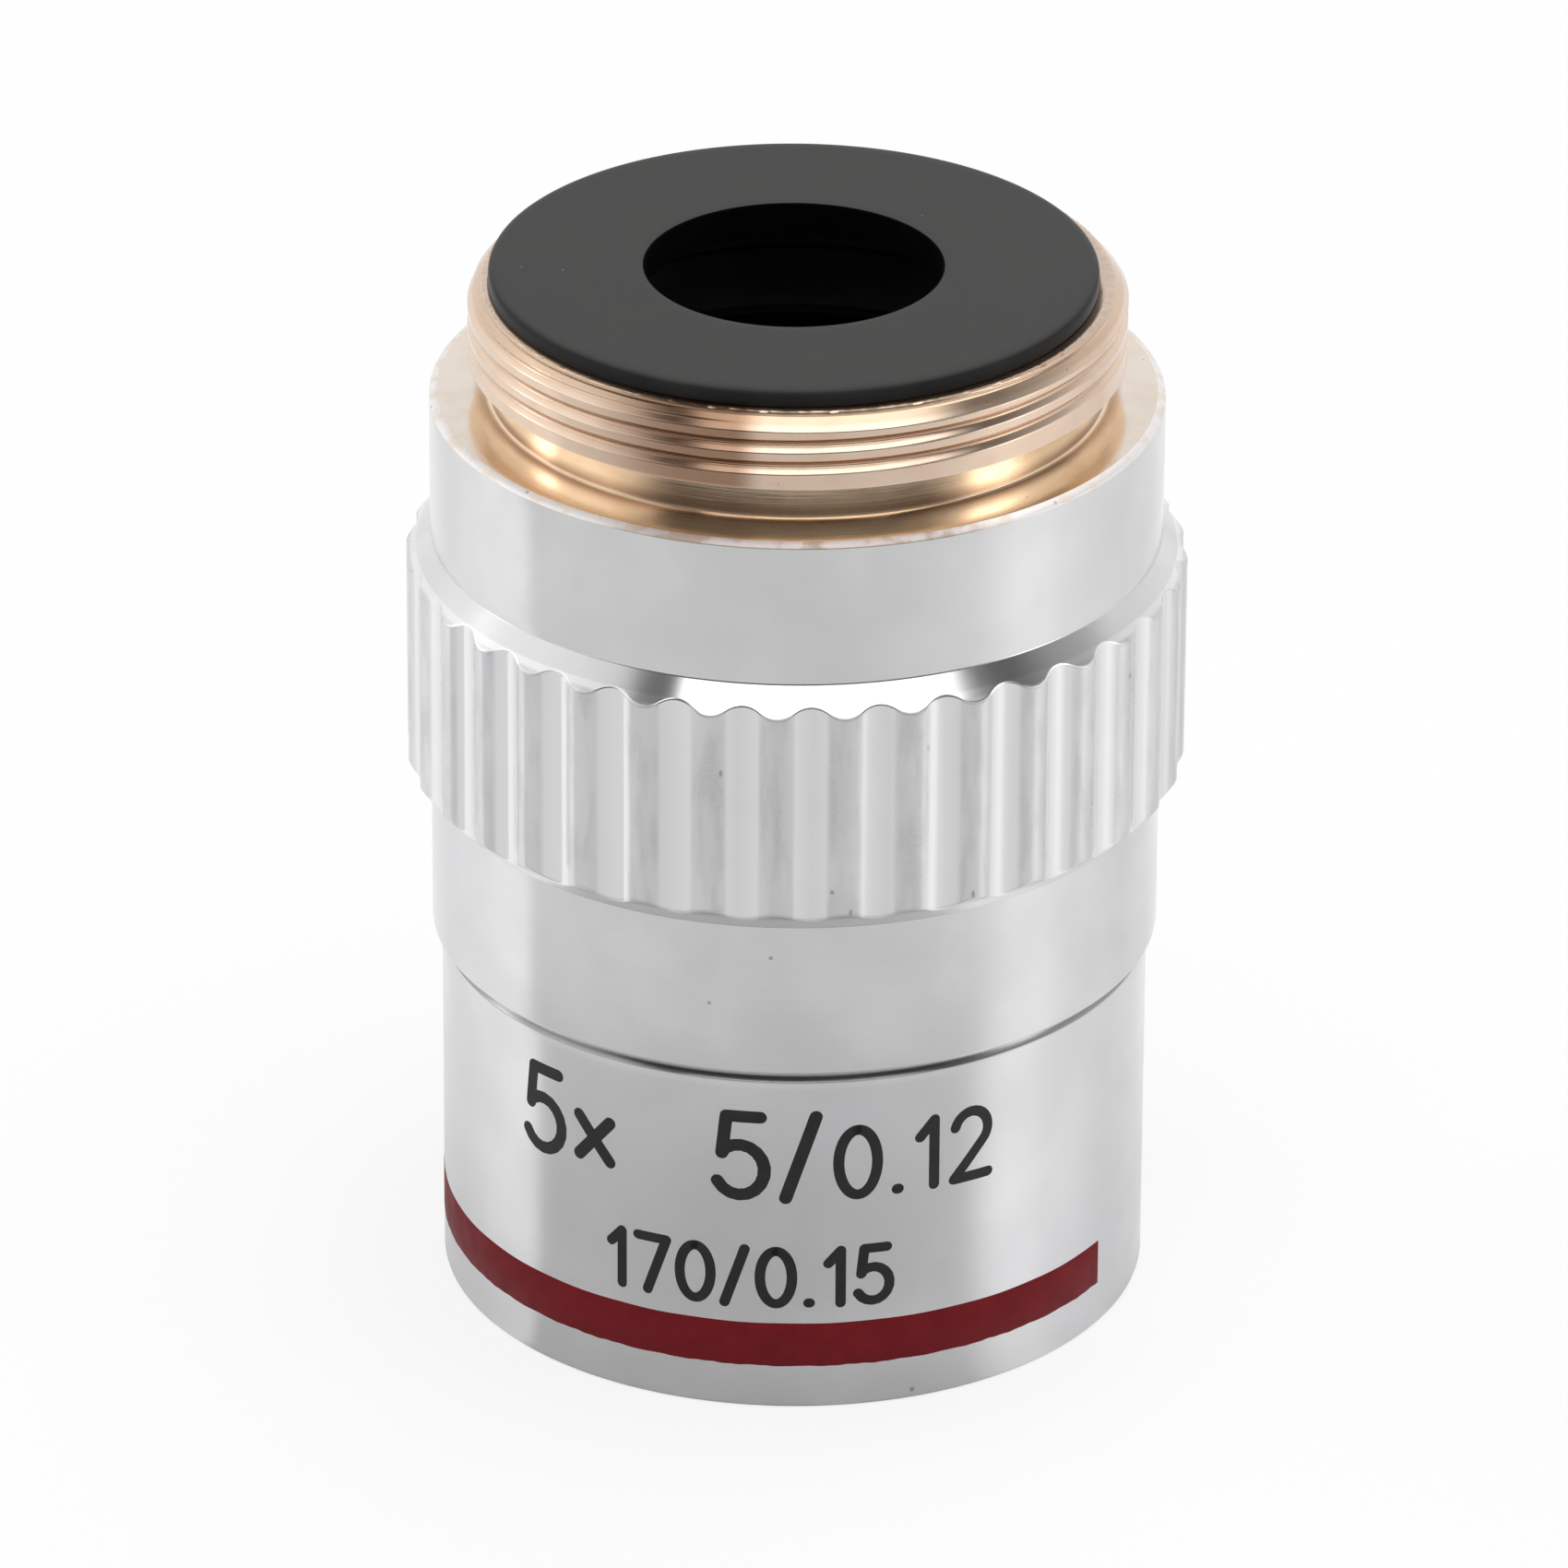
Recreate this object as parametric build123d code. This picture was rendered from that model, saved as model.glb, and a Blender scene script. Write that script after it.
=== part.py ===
from build123d import *
import math
import os

# A low-power microscope objective, standing on its front rim with the mounting thread up.
# Millimetres. The origin is on the optical axis, in the plane of the front rim.

# Outside heights, stacked from the front rim up
sleeve_height = 11.45
body_height = 5.38
grip_height = 8.16
collar_height = 4.78
relief_width = 1.22
thread_length = 2.39
stop_height = 0.48

# Outside diameters
sleeve_diameter = 22.06
body_diameter = 22.66
grip_diameter = 24.20
thread_diameter = 20.27
stop_diameter = 18.74
stop_hole_diameter = 9.14

# Fluted grip: round ridges and round grooves that run into each other
flute_count = 36
flute_depth = 0.29
first_ridge_angle = -92.7

# Edges
seam_chamfer = 0.39
shoulder_chamfer = 0.17
thread_chamfer = 0.34
thread_nose = 0.16
sleeve_chamfer = 0.09
stop_chamfer = 0.28

# Front end of the sleeve
rim_width = 1.20
front_recess = 0.90
front_wall = 1.70
nose_gap = 0.10

# Mount end
relief_depth = 0.62
relief_wall = 1.31
passage_step = 0.80
plug_length = 2.00
plug_wall = 1.10
stop_plate = 1.10
plug_end_gap = 0.30

# Walls of the nested tubes, from the sleeve in to the lenses
sleeve_wall = 1.10
spigot_wall = 1.20
flange_width = 0.95
barrel_wall = 1.35
cell_wall = 0.85
lens_lip = 0.50
fit_clearance = 0.03
ring_clearance = 0.15

# Lengths of the inner pieces
spigot_length = 5.25
barrel_seat_depth = 1.15
shim_thickness = 0.12
flange_thickness = 0.90
lock_ring_height = 2.20
barrel_end_gap = 0.40
cell_lip = 0.50
cell_margin = 0.30
ring_height = 1.00
ring_step = 0.20
ring_lead = 0.15
aperture_thickness = 0.30
aperture_margin = 1.05
slot_width = 0.80
slot_depth = 0.45

# Lens faces: a positive radius has its centre above the face
front_lens_recess = 2.60
front_lens_thickness = 1.40
front_lens_bottom_curve = -70.0
front_lens_top_curve = 34.0
middle_lens_thickness = 3.00
middle_lens_curve = 36.0
middle_to_rear_air = 4.60
crown_thickness = 3.20
crown_curve = 28.6
cement_curve = -17.7
cement_thickness = 0.01
flint_thickness = 1.20
flint_curve = -91.5
rear_lens_depth = 3.47

# Levels of the outside
sleeve_top = sleeve_height
grip_bottom = sleeve_top + body_height
grip_top = grip_bottom + grip_height
shoulder = grip_top + collar_height
thread_start = shoulder + relief_width
mount_end = thread_start + thread_length
stop_top = mount_end + stop_height

# Radii of the outside
sleeve_radius = sleeve_diameter / 2
body_radius = body_diameter / 2
grip_radius = grip_diameter / 2
thread_radius = thread_diameter / 2
relief_radius = thread_radius - relief_depth
stop_radius = stop_diameter / 2
stop_hole_radius = stop_hole_diameter / 2

# Radii of the inside, each one inside the last
stop_bore_radius = relief_radius - relief_wall
passage_radius = stop_bore_radius - passage_step
spigot_radius = sleeve_radius - sleeve_wall - fit_clearance
lock_bore_radius = spigot_radius - spigot_wall
flange_radius = lock_bore_radius - fit_clearance
barrel_radius = flange_radius - flange_width
barrel_bore_radius = barrel_radius - barrel_wall
cell_radius = barrel_bore_radius - fit_clearance
lens_bore_radius = cell_radius - cell_wall
ring_bore_radius = lens_bore_radius + ring_step
lens_radius = lens_bore_radius - fit_clearance
clear_radius = lens_radius - lens_lip


def face_height(vertex, curve, radius):
    """Height of a lens face at a distance from the axis."""
    return vertex + curve - math.copysign(math.sqrt(curve**2 - radius**2), curve)


def seat_under(vertex, curve):
    """Level of a lip that a lens face rests on."""
    return min(face_height(vertex, curve, radius) for radius in (clear_radius, lens_radius))


def seat_over(vertex, curve):
    """Level of a ring that rests on a lens face."""
    return max(face_height(vertex, curve, radius) for radius in (clear_radius, lens_radius))


def turned(*corners):
    """Solid of revolution with straight sides, from its corners as (radius, height)."""
    outline = Polyline(*[(radius, 0, height) for radius, height in corners], close=True)
    return revolve(make_face(outline), Axis.Z)


def tube(inner, outer, bottom, top):
    """Plain ring or tube."""
    return turned((inner, bottom), (outer, bottom), (outer, top), (inner, top))


def lens(bottom, bottom_curve, top, top_curve):
    """Round lens with two spherical faces and a ground edge."""

    def at(vertex, curve, radius):
        return (radius, 0, face_height(vertex, curve, radius))

    half = lens_radius / 2
    lower = ThreePointArc(*[at(bottom, bottom_curve, radius) for radius in (0, half, lens_radius)])
    upper = ThreePointArc(*[at(top, top_curve, radius) for radius in (lens_radius, half, 0)])
    edge = Line(lower @ 1, upper @ 0)
    middle = Line(upper @ 1, lower @ 0)
    return revolve(make_face([lower, edge, upper, middle]), Axis.Z)


def spanner_slots(ring, level, outer):
    """The ring with two spanner slots across its wall, centred on a level."""
    return ring - Pos(0, 0, level) * Box(2 * outer, slot_width, 2 * slot_depth)


def lens_cell(bottom, ring_seat):
    """Turned cell with a lip under the lens and a wider bore for its ring."""
    top = ring_seat + ring_height + cell_margin
    seat = bottom + cell_lip
    step = ring_seat - ring_lead
    return turned(
        (clear_radius, bottom),
        (cell_radius, bottom),
        (cell_radius, top),
        (ring_bore_radius, top),
        (ring_bore_radius, step),
        (lens_bore_radius, step),
        (lens_bore_radius, seat),
        (clear_radius, seat),
    )


def threaded_ring(bottom, outer):
    """Screwed-in retaining ring with spanner slots in its upper face."""
    top = bottom + ring_height
    return spanner_slots(tube(clear_radius, outer, bottom, top), top, outer)


# Levels of the inner pieces, from the front rim and from the shoulder
front_lens_bottom = front_lens_recess
front_lens_top = front_lens_bottom + front_lens_thickness
flint_top = shoulder - rear_lens_depth
cement_level = flint_top - flint_thickness
crown_bottom = cement_level - crown_thickness
middle_lens_top = crown_bottom - middle_to_rear_air
middle_lens_bottom = middle_lens_top - middle_lens_thickness

front_cell_bottom = seat_under(front_lens_bottom, front_lens_bottom_curve) - cell_lip
front_ring_bottom = seat_over(front_lens_top, front_lens_top_curve)
front_cell_top = front_ring_bottom + ring_height + cell_margin
middle_cell_bottom = seat_under(middle_lens_bottom, middle_lens_curve) - cell_lip
middle_ring_bottom = seat_over(middle_lens_top, -middle_lens_curve)
middle_cell_top = middle_ring_bottom + ring_height + cell_margin
rear_cell_bottom = seat_under(crown_bottom, crown_curve) - cell_lip
rear_ring_bottom = seat_over(flint_top, flint_curve)
rear_cell_top = rear_ring_bottom + ring_height + cell_margin
aperture_bottom = rear_cell_bottom - aperture_thickness
barrel_top = rear_cell_top + ring_height + cell_margin

barrel_seat = sleeve_top - barrel_seat_depth
flange_top = barrel_seat - shim_thickness
flange_bottom = flange_top - flange_thickness
lock_ring_bottom = flange_bottom - lock_ring_height
spigot_bottom = sleeve_top - spigot_length


def fluted_outline():
    """Closed wave of arcs round the grip: ridge, groove, ridge, groove."""
    groove_radius = grip_radius - flute_depth
    turn_radius = (grip_radius + groove_radius) / 2
    step = 360 / flute_count

    def at(radius, angle):
        return (radius * math.cos(math.radians(angle)), radius * math.sin(math.radians(angle)))

    arcs = []
    for flute in range(flute_count):
        ridge = first_ridge_angle + flute * step
        start = at(turn_radius, ridge - step / 4)
        turn = at(turn_radius, ridge + step / 4)
        end = at(turn_radius, ridge + 3 * step / 4)
        arcs.append(ThreePointArc(start, at(grip_radius, ridge), turn))
        arcs.append(ThreePointArc(turn, at(groove_radius, ridge + step / 2), end))
    return make_face(arcs)


def mount_body():
    """One turned piece: screwed mount, shoulder, collar, fluted grip, body and lower spigot."""
    grip_chamfer = grip_radius - body_radius
    bore_radius = barrel_radius + fit_clearance
    bore_end = barrel_top + barrel_end_gap
    plug_bore_end = mount_end - plug_length - plug_end_gap
    blank = turned(
        (lock_bore_radius, spigot_bottom),
        (spigot_radius, spigot_bottom),
        (spigot_radius, sleeve_top),
        (body_radius - seam_chamfer, sleeve_top),
        (body_radius, sleeve_top + seam_chamfer),
        (body_radius, grip_bottom),
        (grip_radius, grip_bottom + grip_chamfer),
        (grip_radius, grip_top - grip_chamfer),
        (body_radius, grip_top),
        (body_radius, shoulder - shoulder_chamfer),
        (body_radius - shoulder_chamfer, shoulder),
        (relief_radius, shoulder),
        (relief_radius, thread_start),
        (thread_radius, thread_start),
        (thread_radius, mount_end - thread_nose - thread_chamfer),
        (thread_radius - thread_chamfer, mount_end - thread_nose),
        (thread_radius - thread_chamfer, mount_end),
        (stop_bore_radius, mount_end),
        (stop_bore_radius, plug_bore_end),
        (passage_radius, plug_bore_end),
        (passage_radius, bore_end),
        (bore_radius, bore_end),
        (bore_radius, barrel_seat),
        (lock_bore_radius, barrel_seat),
    )
    waste = extrude(Circle(grip_radius + flute_depth) - fluted_outline(), grip_height)
    return blank - Pos(0, 0, grip_bottom) * waste


def front_sleeve():
    """Marked sleeve that screws over the spigot, with a dished front round the lens barrel."""
    rim_radius = sleeve_radius - rim_width
    nose_hole_radius = barrel_radius + nose_gap
    return turned(
        (rim_radius, 0),
        (sleeve_radius - sleeve_chamfer, 0),
        (sleeve_radius, sleeve_chamfer),
        (sleeve_radius, sleeve_top - sleeve_chamfer),
        (sleeve_radius - sleeve_chamfer, sleeve_top),
        (sleeve_radius - sleeve_wall, sleeve_top),
        (sleeve_radius - sleeve_wall, front_wall),
        (nose_hole_radius, front_wall),
        (nose_hole_radius, front_recess),
        (rim_radius - front_recess, front_recess),
    )


def rear_stop():
    """Black stop: a flanged plate with a central hole, on a skirt that screws into the mount."""
    plug_radius = stop_bore_radius - fit_clearance
    skirt_radius = plug_radius - plug_wall
    plug_bottom = mount_end - plug_length
    plate_bottom = stop_top - stop_plate
    return turned(
        (stop_hole_radius, stop_top),
        (stop_radius - stop_chamfer, stop_top),
        (stop_radius, stop_top - stop_chamfer),
        (stop_radius, mount_end),
        (plug_radius, mount_end),
        (plug_radius, plug_bottom),
        (skirt_radius, plug_bottom),
        (skirt_radius, plate_bottom),
        (stop_hole_radius, plate_bottom),
    )


def lens_barrel():
    """Tube that carries the stack of cells, hung from a flange and flared at its nose."""
    return turned(
        (clear_radius + front_cell_bottom - front_recess, front_recess),
        (barrel_radius, front_recess),
        (barrel_radius, flange_bottom),
        (flange_radius, flange_bottom),
        (flange_radius, flange_top),
        (barrel_radius, flange_top),
        (barrel_radius, barrel_top),
        (barrel_bore_radius, barrel_top),
        (barrel_bore_radius, front_cell_bottom),
        (clear_radius, front_cell_bottom),
    )


def barrel_lock_ring():
    """Screwed ring under the barrel's flange, with spanner slots in its lower face."""
    ring = tube(barrel_radius + ring_clearance, flange_radius, lock_ring_bottom, flange_bottom)
    return spanner_slots(ring, lock_ring_bottom, flange_radius)


def spacer(bottom, top):
    """Tube between two cells."""
    return tube(lens_bore_radius, cell_radius, bottom, top)


ring_radius = ring_bore_radius - fit_clearance
shim_radius = barrel_radius + fit_clearance

pieces = {
    "mount_body": mount_body(),
    "front_sleeve": front_sleeve(),
    "rear_stop": rear_stop(),
    "lens_barrel": lens_barrel(),
    "parfocal_shim": tube(shim_radius, flange_radius, flange_top, barrel_seat),
    "barrel_lock_ring": barrel_lock_ring(),
    "front_cell": lens_cell(front_cell_bottom, front_ring_bottom),
    "front_lens": lens(
        front_lens_bottom, front_lens_bottom_curve, front_lens_top, front_lens_top_curve
    ),
    "front_lens_ring": threaded_ring(front_ring_bottom, ring_radius),
    "lower_spacer": spacer(front_cell_top, middle_cell_bottom),
    "middle_cell": lens_cell(middle_cell_bottom, middle_ring_bottom),
    "middle_lens": lens(middle_lens_bottom, middle_lens_curve, middle_lens_top, -middle_lens_curve),
    "middle_lens_ring": threaded_ring(middle_ring_bottom, ring_radius),
    "upper_spacer": spacer(middle_cell_top, aperture_bottom),
    "aperture_stop": tube(clear_radius - aperture_margin, cell_radius, aperture_bottom, rear_cell_bottom),
    "rear_cell": lens_cell(rear_cell_bottom, rear_ring_bottom),
    "rear_crown_lens": lens(crown_bottom, crown_curve, cement_level - cement_thickness, cement_curve),
    "rear_flint_lens": lens(cement_level, cement_curve, flint_top, flint_curve),
    "rear_lens_ring": threaded_ring(rear_ring_bottom, ring_radius),
    "stack_ring": threaded_ring(rear_cell_top, cell_radius),
}

os.makedirs("parts", exist_ok=True)
for name, piece in pieces.items():
    export_step(piece, f"parts/{name}.step")
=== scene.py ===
import bpy
import math
import numpy as np
from mathutils import Euler, Matrix, Vector


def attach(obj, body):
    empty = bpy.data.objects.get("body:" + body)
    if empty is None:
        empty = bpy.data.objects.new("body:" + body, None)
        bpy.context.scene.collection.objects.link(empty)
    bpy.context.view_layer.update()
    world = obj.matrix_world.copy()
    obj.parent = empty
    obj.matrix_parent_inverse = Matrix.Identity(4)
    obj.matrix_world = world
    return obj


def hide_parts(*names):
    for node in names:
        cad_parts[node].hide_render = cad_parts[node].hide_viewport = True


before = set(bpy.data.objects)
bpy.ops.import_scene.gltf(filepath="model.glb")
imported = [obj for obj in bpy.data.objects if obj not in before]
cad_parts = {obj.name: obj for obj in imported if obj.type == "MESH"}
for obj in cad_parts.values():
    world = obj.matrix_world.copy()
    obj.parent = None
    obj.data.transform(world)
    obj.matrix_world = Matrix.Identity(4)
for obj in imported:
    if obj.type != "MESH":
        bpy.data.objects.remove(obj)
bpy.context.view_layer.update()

# A low-power microscope objective, standing on its front rim with the mounting thread up.
# Lengths are in millimetres until a mesh is made. Angles round the axis start at the front, the
# side that carries the marking, and grow towards +X. The named ones are in degrees.
MM = 0.001

# Levels and radii of the solids
SLEEVE_TOP = 11.45
GRIP_BOTTOM = 16.83
GRIP_TOP = 24.99
SHOULDER = 29.77
THREAD_START = 30.99
MOUNT_END = 33.38
STOP_TOP = 33.86
SLEEVE_RADIUS = 11.03
BODY_RADIUS = 11.33
GRIP_RADIUS = 12.10
THREAD_RADIUS = 10.135
RELIEF_RADIUS = 9.515
STOP_RADIUS = 9.37
STOP_HOLE = 4.57
SPIGOT_RADIUS = 9.90
SPIGOT_BOTTOM = 6.20
LOCK_BORE = 8.70
BARREL_SEAT = 10.30
BARREL_BORE = 7.75
BARREL_BORE_END = 29.17
PASSAGE_RADIUS = 7.405
PLUG_BORE = 8.205
PLUG_BORE_END = 31.08
PLUG_RADIUS = 8.175
SKIRT_RADIUS = 7.075
PLUG_BOTTOM = 31.38
PLATE_BOTTOM = 32.76
SEAM_CHAMFER = 0.39
SHOULDER_CHAMFER = 0.17
SHOULDER_EDGE = 0.25
SLEEVE_CHAMFER = 0.09
STOP_EDGE = 0.28
STOP_OFFSET = -0.13

# Inside of the sleeve: bevelled rim, recess, mouth, and ledge at the end of its bore
RIM_INSIDE = 9.83
RECESS_RADIUS = 8.93
RECESS_LEVEL = 0.90
MOUTH_RADIUS = 7.82
LEDGE_TOP = 1.70
SLEEVE_BORE = 9.93

# Fluted grip, with the fine cut in the corner where the collar meets it
FLUTES = 36
FLUTE_DEPTH = 0.29
FLUTE_EDGE = 0.035
FIRST_RIDGE = -2.7
GROOVE_RADIUS = GRIP_RADIUS - FLUTE_DEPTH
CORNER_CUT = 0.05

# Thread of 36 turns an inch: low blunt ridges with sloping sides above one plain land, a sloping
# lead and a short plain nose
PITCH = 25.4 / 36
THREAD_DEPTH = 0.20
THREAD_SLOPE = 0.193
THREAD_ROOT = 0.06
THREAD_BLUNT = 0.024
LAND_TOP = 31.484
RUN_OUT = 30.0
LEAD_START = 32.88
LEAD_TOP = 33.22
NOSE_RADIUS = 9.74

# Colour band, and marking in lines of numerals: runs of (text, height, stroke width)
BAND_BOTTOM = 1.45
BAND_TOP = 2.95
BAND_END = 60.0
BAND_GAP = 45.0
MARKING_MIDDLE = -7.5
UPPER_BOTTOM = 7.40
UPPER_RUNS = [("5x 5/", 2.72, 0.43), ("0.12", 2.25, 0.37)]
LOWER_BOTTOM = 3.64
LOWER_RUNS = [("170/0.15", 1.84, 0.35)]
NUMERAL_GAP = 0.24

# Paint: its edge lies under the metal's surface, and within the lip it stands above it
PAINT_FOOT = -0.01
PAINT_TOP = 0.012
PAINT_LIP = 0.02

# Dents as (radius, angle, height, size)
BODY_DENTS = [
    (BODY_RADIUS, -3.6, 15.79, 0.09),
    (BODY_RADIUS, -13.2, 14.10, 0.08),
    (GRIP_RADIUS - 0.1, 5.5, 18.38, 0.10),
]
SLEEVE_DENTS = [(SLEEVE_RADIUS, 19.8, 0.30, 0.11)]

# Fineness of the meshes
MOUNT_COLUMNS = 576
PLAIN_COLUMNS = 360
THREAD_ROWS = 96
BAND_STEPS = 420

# Tones round the object as (angle, tone): of the table that the metal mirrors, with painted light and
# shade, and of the room, with a softbox at each side, dark round the camera and dim behind
TABLE_TONES = [
    (-180, 0.93), (-140, 0.88), (-106, 1.0), (-95, 1.0), (-90, 0.74), (-60, 0.73), (0, 0.67), (40, 0.73),
    (58, 0.79), (73, 1.0), (86, 1.0), (93, 0.93), (110, 0.87), (126, 0.79), (150, 0.85), (180, 0.97),
]
ROOM_TONES = [
    (-180, 0.30), (-135, 0.30), (-118, 0.34), (-109, 0.95), (-102.5, 0.95), (-101, 0.42), (-72, 0.38),
    (-58, 0.15), (-46, 0.028), (-20, 0.028), (0, 0.044), (16, 0.062), (36, 0.042), (48, 0.030),
    (57, 0.13), (64, 0.30), (72, 0.88), (81, 1.0), (88, 0.62), (96, 0.33), (104, 0.27), (126, 0.25),
    (145, 0.30), (180, 0.30),
]

# Strengths of the lights. Near the table the softboxes are held down.
PANEL_LIGHT = 1.8
SOFTBOX_LIGHT = 3.1
SOFTBOX_FOOT = 0.95
LAMP_POWER = 0.9

# Floor: half its width, in metres, and its level just under the rim
FLOOR_REACH = 3.0
FLOOR_LEVEL = -0.01

# Camera of the photograph, which is 1700 pixels wide: angles in degrees, places in metres, shifts
# in pixels. The eye's level is the sine of its elevation.
PHOTO_WIDTH = 1700
ELEVATION = 26.496
ROLL = 0.334
DISTANCE = 0.4123
AIM = Vector((0, 0, 0.016))
LENS = 303.28
SENSOR = 36.0
SHIFT_ACROSS = -12.065
SHIFT_UP = 2.788
EYE_LEVEL = 0.446


def grey(tone):
    return (tone, tone, tone, 1)


class Graph:
    """Short ways to add and join the nodes of one node tree."""

    def __init__(self, tree):
        self.tree = tree
        tree.nodes.clear()

    def feed(self, socket, value):
        if isinstance(value, bpy.types.NodeSocket):
            self.tree.links.new(value, socket)
        else:
            socket.default_value = value

    def add(self, kind, inputs=None, **settings):
        node = self.tree.nodes.new("ShaderNode" + kind)
        for name, value in settings.items():
            setattr(node, name, value)
        for name, value in (inputs or {}).items():
            self.feed(node.inputs[name], value)
        return node

    def math(self, operation, first, second=0.0):
        return self.add("Math", {0: first, 1: second}, operation=operation).outputs[0]

    def plus(self, first, second):
        return self.math("ADD", first, second)

    def minus(self, first, second):
        return self.math("SUBTRACT", first, second)

    def times(self, first, second):
        return self.math("MULTIPLY", first, second)

    def step(self, value, low, high, start=0.0, end=1.0):
        """Smooth change from start to end as the value goes from low to high."""
        inputs = {"Value": value, "From Min": low, "From Max": high, "To Min": start, "To Max": end}
        return self.add("MapRange", inputs, interpolation_type="SMOOTHSTEP").outputs["Result"]

    def within(self, value, low, high, soft):
        """1 between two values, with soft edges, and 0 elsewhere."""
        rise = self.step(value, low - soft, low + soft)
        fall = self.step(value, high - soft, high + soft, 1.0, 0.0)
        return self.times(rise, fall)

    def mix(self, share, first, second):
        """Colour between two colours."""
        node = self.add("Mix", data_type="RGBA")
        self.feed(node.inputs[0], share)
        self.feed(node.inputs[6], first)
        self.feed(node.inputs[7], second)
        return node.outputs[2]

    def blend(self, share, first, second):
        """Number between two numbers."""
        node = self.add("Mix", data_type="FLOAT")
        self.feed(node.inputs[0], share)
        self.feed(node.inputs[2], first)
        self.feed(node.inputs[3], second)
        return node.outputs[0]

    def noise(self, place, scale, detail=3.0):
        return self.add("TexNoise", {"Vector": place, "Scale": scale, "Detail": detail}).outputs["Fac"]

    def spots(self, place, scale, size, share):
        """Round spots in a share of the cells of a scattered pattern."""
        cells = self.add("TexVoronoi", {"Vector": place, "Scale": scale})
        near = self.step(cells.outputs["Distance"], 0.4 * size, size, 1.0, 0.0)
        pick = self.add("SeparateColor", {"Color": cells.outputs["Color"]}).outputs["Red"]
        return self.times(near, self.math("LESS_THAN", pick, share))

    def stretched(self, place, along):
        """The same place with its height scaled, so that a pattern runs along the axis."""
        return self.add("Mapping", {"Vector": place, "Scale": (1.0, 1.0, along)}).outputs[0]

    def bump(self, height, distance):
        return self.add("Bump", {"Height": height, "Distance": distance}).outputs["Normal"]

    def from_axis(self, x, y):
        """Distance from the axis."""
        flat = self.add("CombineXYZ", {"X": x, "Y": y}).outputs[0]
        return self.add("VectorMath", {0: flat}, operation="LENGTH").outputs["Value"]

    def bearing(self, x, y):
        """Angle round the axis, in radians."""
        return self.math("ARCTAN2", x, self.times(y, -1.0))

    def upward(self):
        """How far the surface faces up, from -1 to 1."""
        normal = self.add("NewGeometry").outputs["Normal"]
        return self.add("SeparateXYZ", {0: normal}).outputs[2]

    def seen(self):
        """1 for what is seen directly or through glass, and 0 for what only lights or is mirrored."""
        ray = self.add("LightPath").outputs
        return self.math("MAXIMUM", ray["Is Camera Ray"], ray["Is Transmission Ray"])

    def tone_ramp(self, angle, tones):
        """Grey tone at an angle round the object, from (angle, tone) pairs."""
        share = self.plus(self.math("DIVIDE", angle, 2 * math.pi), 0.5)
        node = self.add("ValToRGB", {"Fac": share})
        entries = node.color_ramp.elements
        for place, (degrees, tone) in enumerate(tones):
            entry = entries[place] if place < 2 else entries.new(1.0)
            entry.position = (degrees + 180) / 360
            entry.color = grey(tone)
        return node.outputs["Color"]


class Turned:
    """Place on a turned piece, in millimetres, and the pattern of its fine turning marks."""

    def __init__(self, graph):
        place = graph.add("TexCoord").outputs["Object"]
        scaled = graph.add("VectorMath", {0: place, "Scale": 1 / MM}, operation="SCALE")
        self.place = scaled.outputs[0]
        axes = graph.add("SeparateXYZ", {0: self.place}).outputs
        self.x, self.y, self.z = axes[0], axes[1], axes[2]
        self.radius = graph.from_axis(self.x, self.y)
        parts = {
            "X": graph.math("DIVIDE", self.x, self.radius),
            "Y": graph.math("DIVIDE", self.y, self.radius),
            "Z": graph.times(graph.plus(self.radius, self.z), 9.0),
        }
        self.lines = graph.noise(graph.add("CombineXYZ", parts).outputs[0], 2.6, 4.0)


def finish(name):
    """New material with its graph and its one surface shader."""
    material = bpy.data.materials.new(name)
    material.use_nodes = True
    graph = Graph(material.node_tree)
    surface = graph.add("BsdfPrincipled")
    output = graph.add("OutputMaterial")
    graph.tree.links.new(surface.outputs[0], output.inputs["Surface"])
    return material, graph, surface


def dress(graph, surface, metallic, colour, rough, normal):
    """Gives a surface its share of metal, colour, roughness and fine relief."""
    surface.inputs["Metallic"].default_value = metallic
    graph.feed(surface.inputs["Base Color"], colour)
    graph.feed(surface.inputs["Roughness"], rough)
    graph.feed(surface.inputs["Normal"], normal)


def along_the_cut(graph, surface, amount):
    """Gloss that spreads across the fine turning marks."""
    tangent = graph.add("Tangent", direction_type="RADIAL", axis="Z").outputs[0]
    graph.feed(surface.inputs["Tangent"], tangent)
    surface.inputs["Anisotropic"].default_value = amount
    surface.inputs["Anisotropic Rotation"].default_value = 0.25


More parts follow.
